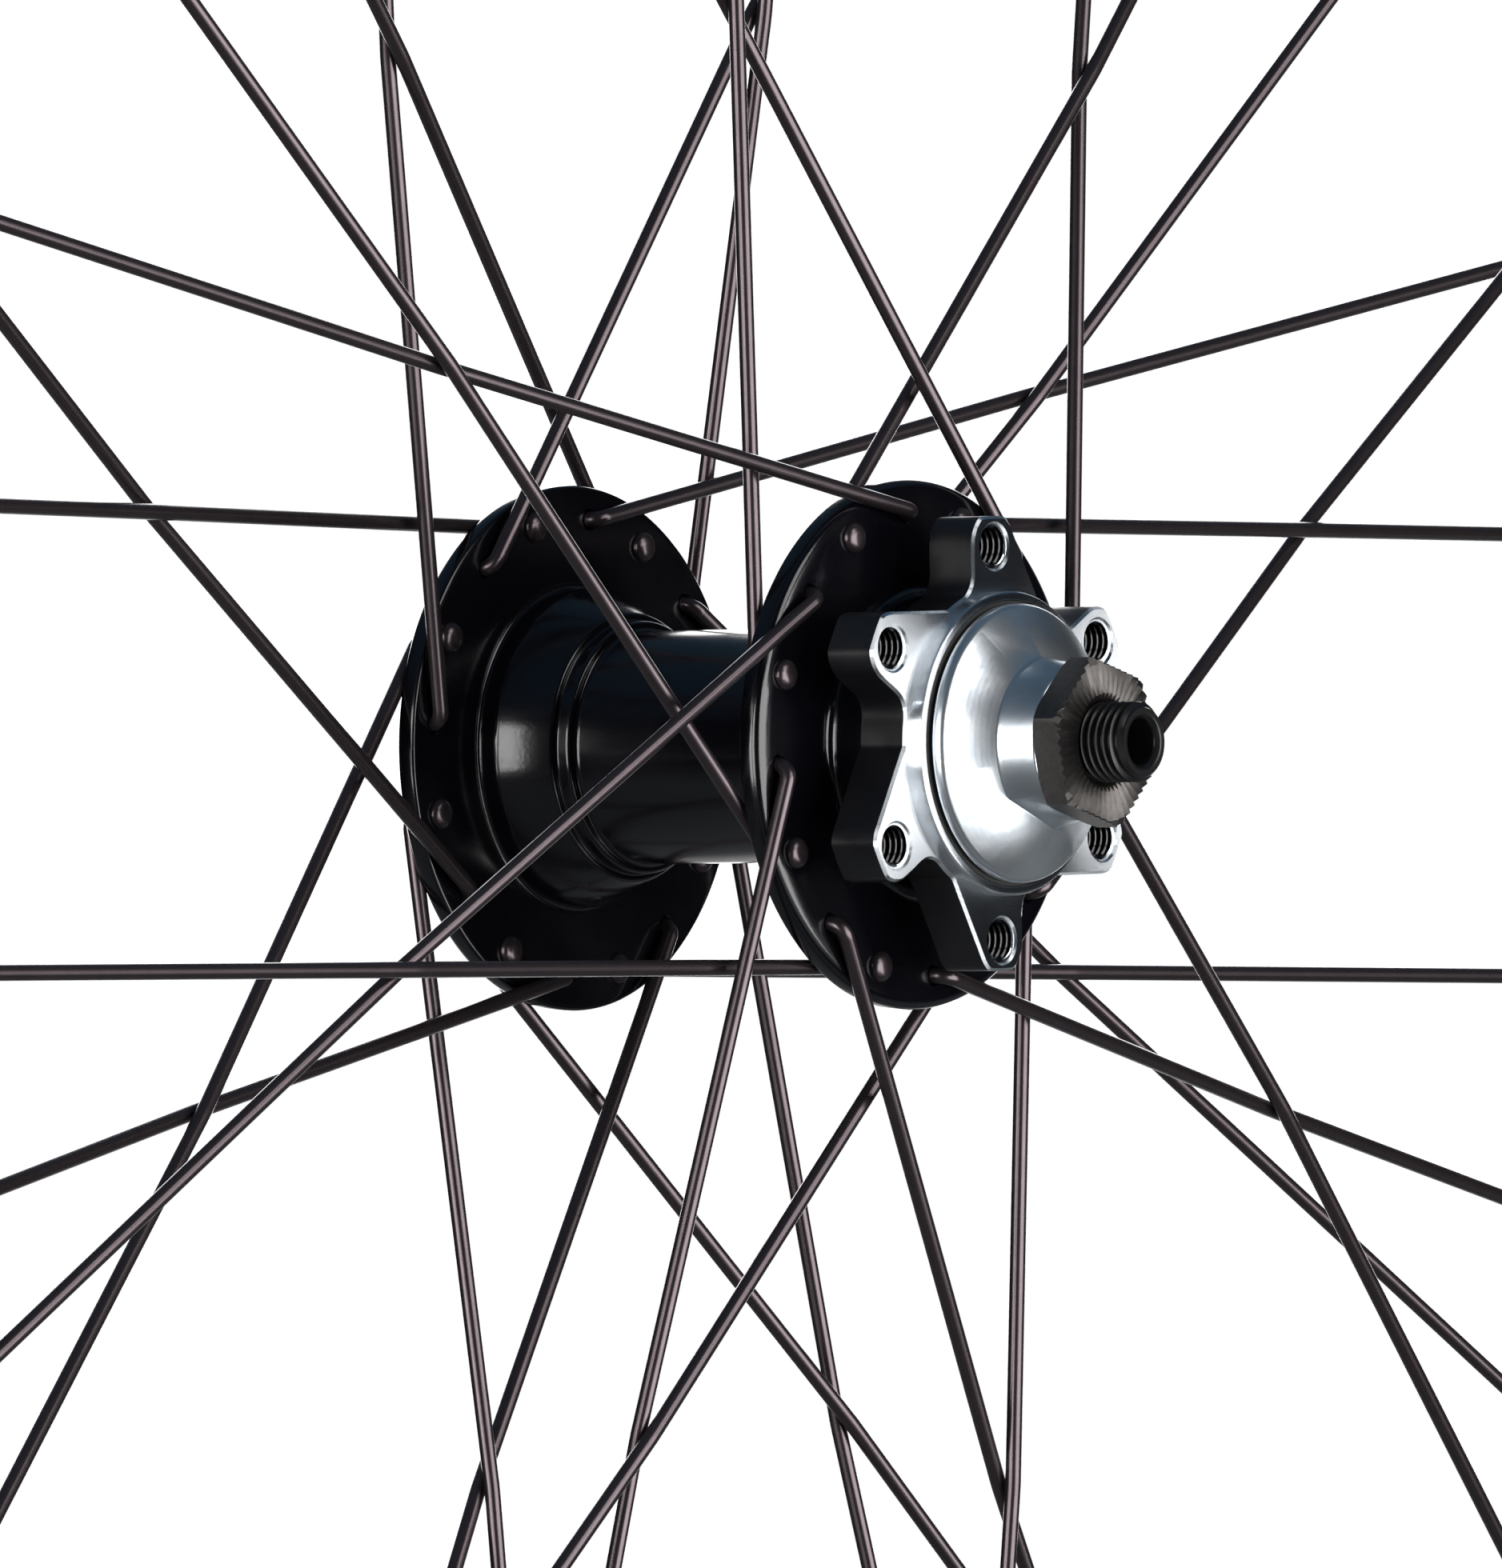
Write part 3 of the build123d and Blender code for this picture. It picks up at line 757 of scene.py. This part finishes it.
for name, side in SIDES:
    seal = bmesh.new()
    section(seal, on_stack(side, SEAL_SECTION), closed=True)
    spin_section(seal, SEAL_STEPS)
    smooth(seal)
    make_piece(name + "_lip_seal", seal, "wheel", "seal_rubber", [seal_rubber], name + "_seal")
    balls = bmesh.new()
    for k in range(BALLS):
        place = Matrix.Translation(wheel_point(BALL_CIRCLE, 360.0 / BALLS * k, stack_y(side, BALL_OUT)))
        bmesh.ops.create_uvsphere(balls, u_segments=BALL_SIDES, v_segments=BALL_RINGS,
                                  radius=BALL_RADIUS * MM, matrix=place)
    smooth(balls)
    make_piece(name + "_ball_ring", balls, name + "_ball_set", "bearing_steel", [bearing_steel],
               name + "_balls")
    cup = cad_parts[name + "_cup"]
    cup.data.materials.clear()
    cup.data.materials.append(bearing_steel)

# %% [markdown]
# ## Spokes
#
# Each spoke is one wire: a head on one face of the flange, a bend through the hole, a run to the third
# crossing where it is laced under or over its partner, and a run to the rim. The wire starts as a
# circle at the head. Straight runs are extrusions, and the bends are spins about their own centres.

# %% Where the spokes run
SPOKE_RADIUS = 0.9
SPOKE_TURN = 67.5
OUTER_RUN, INNER_RUN = 3.05, 2.45
WEAVE = 1.0
RUN_CENTRE = (OUTER_RUN - INNER_RUN) / 2
SEAT_RADIUS = 268.0
FAMILIES = {
    "disc_outer": (-1, True, FIRST_SPOKE, SPOKE_TURN),
    "disc_inner": (-1, False, FIRST_SPOKE + 2 * PITCH, -SPOKE_TURN),
    "far_outer": (1, True, FIRST_SPOKE + PITCH, SPOKE_TURN),
    "far_inner": (1, False, FIRST_SPOKE + 3 * PITCH, -SPOKE_TURN),
}


def spoke_line(side, outside, angle, turn):
    """The wire's corners in metres: over its hub hole, at the laced crossing and in the rim."""
    offset = OUTER_RUN if outside else -INNER_RUN
    start = wheel_point(HOLE_CIRCLE, angle, side * (FLANGE_OUT[side] + offset))
    seat = wheel_point(SEAT_RADIUS, angle + turn, 0)
    third = turn - PITCH if turn > 0 else turn + PITCH
    across = wheel_point(1.0, angle + third + 90.0, 0)
    share = start.dot(across) / (start - seat).dot(across)
    crossing = start.lerp(seat, share)
    middle = (FLANGE_OUT[side] + RUN_CENTRE) * (1 - share)
    crossing.y = side * (middle - WEAVE if outside else middle + WEAVE) * MM
    return start, crossing, seat


print("first laced crossing in mm", [round(x / MM, 1) for x in spoke_line(*FAMILIES["disc_outer"])[1]])

# %% Draw a wire along its line
WIRE_SIDES = 20
ELBOW_RADIUS = 1.65
CROSSING_RADIUS = 30.0
ELBOW_STEPS, CROSSING_STEPS = 10, 3
HEAD_GAP = 0.05
END_GAP = 1.5
HEAD_RINGS = ((0.0, 1.75), (0.3, 1.72), (0.62, 1.5), (0.88, 1.05), (0.97, 0.55))


def run_to(bm, ring, step):
    """Extrudes the wire straight by a step."""
    return extend(bm, ring, lambda corner: corner + step)


def bend(bm, ring, corner, before, after, radius, steps):
    """Spins the wire round a bend at a corner, from one direction to another."""
    turn = before.angle(after)
    inwards = (after - before * after.dot(before)).normalized()
    centre = corner - before * radius * tan(turn / 2) + inwards * radius
    made = bmesh.ops.spin(bm, geom=ring, cent=centre, axis=before.cross(after), dvec=(0, 0, 0), angle=turn,
                          steps=steps, use_merge=False, use_duplicate=False)["geom_last"]
    return [e for e in made if isinstance(e, bmesh.types.BMEdge)]


def spoke_wire(side, outside, angle, turn):
    """One finished spoke as a bmesh."""
    start, crossing, seat = spoke_line(side, outside, angle, turn)
    facing = side if outside else -side
    through = Vector((0, facing, 0))
    head = Vector((start.x, (side * FLANGE_OUT[side] - facing * (FLANGE_HALF + HEAD_GAP)) * MM, start.z))
    run = (crossing - start).normalized()
    rest = (seat - crossing).normalized()
    bm = bmesh.new()
    frame_at = Matrix.Translation(head) @ through.to_track_quat("Z", "X").to_matrix().to_4x4()
    first = ring_at(bm, frame_at, SPOKE_RADIUS, WIRE_SIDES)
    ring = first
    radius = SPOKE_RADIUS
    for height, wide in HEAD_RINGS:
        middle = head - through * height * MM
        share = wide / radius
        ring = extend(bm, ring, lambda c: middle + (c - head - (c - head).project(through)) * share)
        radius = wide
    bmesh.ops.contextual_create(bm, geom=ring)
    elbow = ELBOW_RADIUS * MM * tan(through.angle(run) / 2)
    kink = CROSSING_RADIUS * MM * tan(run.angle(rest) / 2)
    ring = run_to(bm, first, through * ((start - head).length - elbow))
    ring = bend(bm, ring, start, through, run, ELBOW_RADIUS * MM, ELBOW_STEPS)
    ring = run_to(bm, ring, run * ((crossing - start).length - elbow - kink))
    ring = bend(bm, ring, crossing, run, rest, CROSSING_RADIUS * MM, CROSSING_STEPS)
    ring = run_to(bm, ring, rest * ((seat - crossing).length - kink - END_GAP * MM))
    bmesh.ops.contextual_create(bm, geom=ring)
    smooth(bm)
    return bm


for family, (side, outside, angle, turn) in FAMILIES.items():
    for k in range(SPOKES // 4):
        wire = spoke_wire(side, outside, angle + 4 * PITCH * k, turn)
        make_piece(f"wire_{family}_{k + 1}", wire, "wheel", "spoke_steel", [wire_black],
                   f"spoke_{family}_{k + 1}")

# %% [markdown]
# ## Nipples
#
# A nipple screws onto each spoke from the rim's well. Its shank is round at the head and square where
# the spoke key grips it, so the rings of the shank are circles with their sides pressed flat.

# %% Nipples
NIPPLE_SIDES = 32
NIPPLE_LENGTH = 11.0
NIPPLE_FLAT = 1.62
HEAD_LIFT = 0.45
BORE_DEPTH = 9.5
NIPPLE_BORE = 0.95
ROUND = 9.0  # half flats so wide that the ring stays round
NIPPLE_RINGS = ((NIPPLE_LENGTH, NIPPLE_BORE, ROUND), (NIPPLE_LENGTH, 1.25, ROUND), (10.6, 1.7, NIPPLE_FLAT),
                (6.0, 2.0, NIPPLE_FLAT), (5.2, 2.0, ROUND), (0.2, 2.0, ROUND), (0.0, 2.85, ROUND),
                (-0.7, 2.9, ROUND), (-1.6, 2.6, ROUND), (-2.2, 1.9, ROUND), (-2.4, 1.1, ROUND))


def nipple_mesh(bm, line):
    """Adds one nipple, in line with its spoke. A ring is (distance from the seat, radius, half flats)."""
    crossing, seat = line[1:]
    inward = (crossing - seat).normalized()
    lifted = seat - inward * HEAD_LIFT * MM
    sideways = inward.cross(Vector((0, 1, 0))).normalized()
    upright = inward.cross(sideways)
    to_bore = Matrix.Translation(lifted + inward * (NIPPLE_LENGTH - BORE_DEPTH) * MM)
    turn_inward = inward.to_track_quat("Z", "X").to_matrix().to_4x4()
    ring = ring_at(bm, to_bore @ turn_inward, NIPPLE_BORE, NIPPLE_SIDES)
    bmesh.ops.contextual_create(bm, geom=ring)
    for far, radius, flat in NIPPLE_RINGS:
        def place(corner):
            offset = corner - lifted
            across = Vector((offset.dot(sideways), offset.dot(upright))).normalized() * radius
            pressed = [max(-flat, min(flat, x)) * MM for x in across]
            return lifted + inward * far * MM + sideways * pressed[0] + upright * pressed[1]
        ring = extend(bm, ring, place)
    bmesh.ops.contextual_create(bm, geom=ring)


caps = bmesh.new()
for side, outside, angle, turn in FAMILIES.values():
    for k in range(SPOKES // 4):
        nipple_mesh(caps, spoke_line(side, outside, angle + 4 * PITCH * k, turn))
smooth(caps)
make_piece("spoke_nipples", caps, "wheel", "nipple_brass", [nipple_black], "nipples", sharp=40.0)

# %% [markdown]
# ## Rim
#
# The rim is an extruded channel rolled into a hoop, so it is one section spun round. Its steps are a
# tenth of the spacing of the nipple holes, which puts a vertex at every hole. Bevelling that vertex
# opens a small polygon, which is pushed out to a circle. The outer wall's circle is then extruded to
# the inner wall's, and the two weld.

# %% Rim hoop
RIM_STEPS = 10 * SPOKES
RIM_HALF = 12.5
RIM_EDGE = 285.5
BED_IN, BED_OUT = 266.1, 268.0
WELL_HALF = 10.6
RIM_SECTION = [(7.45, BED_IN, 1.2), (RIM_HALF, 272.05, 1.2), (RIM_HALF, RIM_EDGE, 0.5),
               (WELL_HALF, RIM_EDGE, 0.5), (WELL_HALF, 279.5, 0.2), (9.1, 279.5, 0.4),
               (WELL_HALF, 277.0, 0.4), (WELL_HALF, 273.0, 0.8), (6.5, BED_OUT, 0.8)]

hoop = bmesh.new()
right = [(r, y, *cut) for y, r, *cut in RIM_SECTION]
left = [(r, -y, *cut) for r, y, *cut in reversed(right)]
section(hoop, right + [(BED_OUT, 0.0)] + left + [(BED_IN, 0.0)], closed=True)
spin_section(hoop, RIM_STEPS)
to_first = Matrix.Rotation(-radians(FIRST_SPOKE), 3, "Y")
bmesh.ops.rotate(hoop, cent=(0, 0, 0), matrix=to_first, verts=hoop.verts)
print("hoop faces", len(hoop.faces))

# %% Nipple holes and valve hole
NIPPLE_HOLE = 2.5
VALVE_HOLE = 4.25
VALVE_ANGLE = 268.375
HOLE_SIDES = 16
HOLE_STEP = 2 * pi / HOLE_SIDES


def round_hole(bm, angle, radius):
    """Opens a round hole through both walls of the rim's bed."""
    outward = wheel_point(1.0, angle, 0).normalized()
    along = outward.cross(Vector((0, 1, 0)))

    def steps_round(co):
        """How far round the hole a corner is, in steps of its circle."""
        return round(atan2(co.y, co.dot(along)) / HOLE_STEP)

    def on_wall(wall, step):
        """A place on the hole's circle at a wall's height."""
        aside = radius * MM * cos(step * HOLE_STEP)
        height = sqrt((wall * MM) ** 2 - aside ** 2)
        return along * aside + Vector((0, radius * MM * sin(step * HOLE_STEP), 0)) + outward * height

    for wall in (BED_IN, BED_OUT):
        spot = min(bm.verts, key=lambda v: (v.co - outward * wall * MM).length)
        made = bmesh.ops.bevel(bm, geom=[spot], offset=radius * MM, offset_type="OFFSET",
                               segments=HOLE_SIDES // 4, profile=0.5, affect="VERTICES", material=-1)
        lid = bmesh.ops.dissolve_faces(bm, faces=made["faces"])["region"][0]
        corners = lid.verts[:]
        first = max(range(HOLE_SIDES), key=lambda k: corners[k].co.dot(along))
        way = 1 if corners[(first + 1) % HOLE_SIDES].co.y > 0 else -1
        for step in range(HOLE_SIDES):
            corners[(first + way * step) % HOLE_SIDES].co = on_wall(wall, step)
        rim = lid.edges[:]
        bmesh.ops.delete(bm, geom=[lid], context="FACES_ONLY")
    extend(bm, rim, lambda co: on_wall(BED_IN, steps_round(co)))


smooth(hoop)
for k in range(SPOKES):
    round_hole(hoop, FIRST_SPOKE + PITCH * k, NIPPLE_HOLE)
round_hole(hoop, VALVE_ANGLE, VALVE_HOLE)
make_piece("rim_hoop", hoop, "wheel", "rim_alloy", [rim_black], "rim")

# %% [markdown]
# ## Studio
#
# A plain pale floor lies under the wheel. Polished metal shows whatever stands round it, so the floor
# is kept out of the reflections, and the room that the metal mirrors is drawn in the background.

# %% Floor
FLOOR_RADIUS = 0.7
FLOOR_SIDES = 96
floor_mesh = bmesh.new()
bmesh.ops.create_circle(floor_mesh, cap_ends=True, radius=FLOOR_RADIUS, segments=FLOOR_SIDES,
                        matrix=Matrix.Translation((0, 0, cad_box[0].z)))
floor_data = bpy.data.meshes.new("floor")
floor_mesh.to_mesh(floor_data)
floor_mesh.free()
floor = bpy.data.objects.new("floor", floor_data)
scene.collection.objects.link(floor)
floor_data.materials.append(finish("pale_paper_floor", "#f2f2f2", Roughness=0.9)[0])
floor.visible_glossy = False
print("floor at", round(cad_box[0].z, 4))

# %% [markdown]
# Four soft lamps stand two metres from the hub. A wide panel on the disc side, to the right of the
# camera, makes the long highlights on the wires and the turned metal. An umbrella above it lights the
# upper edges, a box on the left lights the other side of the wires, and a box behind the wheel lights
# its far side.

# %% Lamps
LAMP_DISTANCE = 2.0


def softbox(name, direction, shape, width, height, power):
    """A flat lamp in a direction from the hub, facing it."""
    lamp = bpy.data.lights.new(name, "AREA")
    lamp.shape = shape
    lamp.size = width
    lamp.size_y = height
    lamp.energy = power
    obj = bpy.data.objects.new(name, lamp)
    away = Vector(direction).normalized()
    obj.matrix_world = Matrix.LocRotScale(away * LAMP_DISTANCE, away.to_track_quat("Z", "Y"), None)
    obj.visible_camera = False
    scene.collection.objects.link(obj)
    print(f"{name}: {power:g} W")


softbox("disc_side_panel", (0.12, -0.99, -0.08), "RECTANGLE", 2.0, 1.5, 64.0)
softbox("high_umbrella", (0.1, -0.87, 0.48), "ELLIPSE", 1.1, 0.9, 11.0)
softbox("left_softbox", (-1.0, 0.06, 0.03), "RECTANGLE", 1.4, 1.1, 42.0)
softbox("back_softbox", (0.72, 0.68, 0.15), "RECTANGLE", 1.6, 1.4, 26.0)

# %% [markdown]
# The camera sees plain white behind the wheel. A reflection sees a room: dark walls, a pale table in
# front of the disc side, a grey lower part and a blue-grey ceiling further back, and a white backdrop
# opposite the camera. Each part is laid over the last by its share, which fades in with the direction.
# What lights matt surfaces is an even pale grey.

# %% Background
WHITE = (1.0, 1.0, 1.0, 1.0)
DARK_WALL = colour("#0c0d10")
world = bpy.data.worlds.new("studio")
world.use_nodes = True
scene.world = world
tree = world.node_tree
tree.nodes.clear()
rays = add(tree, "ShaderNodeLightPath").outputs
place = add(tree, "ShaderNodeTexCoord").outputs["Generated"]
split = add(tree, "ShaderNodeSeparateXYZ", {"Vector": place})
depth, height = split.outputs["Y"], split.outputs["Z"]
ahead = add(tree, "ShaderNodeVectorMath", {0: place, 1: CAMERA_LOOK}, operation="DOT_PRODUCT")
fades = {"low": (height, -0.2, -0.45), "high": (height, 0.3, 0.6), "near": (depth, -0.38, -0.52),
         "front": (depth, -0.62, -0.78), "backdrop": (ahead.outputs["Value"], 0.82, 0.99)}
shares = {}
for part, (value, start, end) in fades.items():
    ramp = add(tree, "ShaderNodeMapRange", {"Value": value, "From Min": start, "From Max": end})
    shares[part] = ramp.outputs["Result"]
table = add(tree, "ShaderNodeMath", {0: shares["low"], 1: shares["front"]}, operation="MULTIPLY")
layers = [(shares["low"], colour("#6d7174")), (shares["high"], colour("#3d5569")),
          (shares["near"], DARK_WALL), (table.outputs["Value"], colour("#d8dadb")),
          (shares["backdrop"], WHITE)]
room = DARK_WALL
for share, tone in layers:
    room = add(tree, "ShaderNodeMixRGB", {"Fac": share, "Color1": room, "Color2": tone}).outputs["Color"]
mirrored = add(tree, "ShaderNodeMath", {0: rays["Is Glossy Ray"], 1: rays["Is Transmission Ray"]},
               operation="MAXIMUM")
soft = add(tree, "ShaderNodeMixRGB", {"Fac": mirrored.outputs["Value"], "Color1": colour("#b8b8b8"),
                                     "Color2": room})
seen = add(tree, "ShaderNodeMixRGB", {"Fac": rays["Is Camera Ray"], "Color1": soft.outputs["Color"],
                                     "Color2": WHITE})
sky = add(tree, "ShaderNodeBackground", {"Color": seen.outputs["Color"], "Strength": 1.0})
add(tree, "ShaderNodeOutputWorld", {"Surface": sky.outputs["Background"]})
print("background", world.name, len(tree.nodes), "nodes")
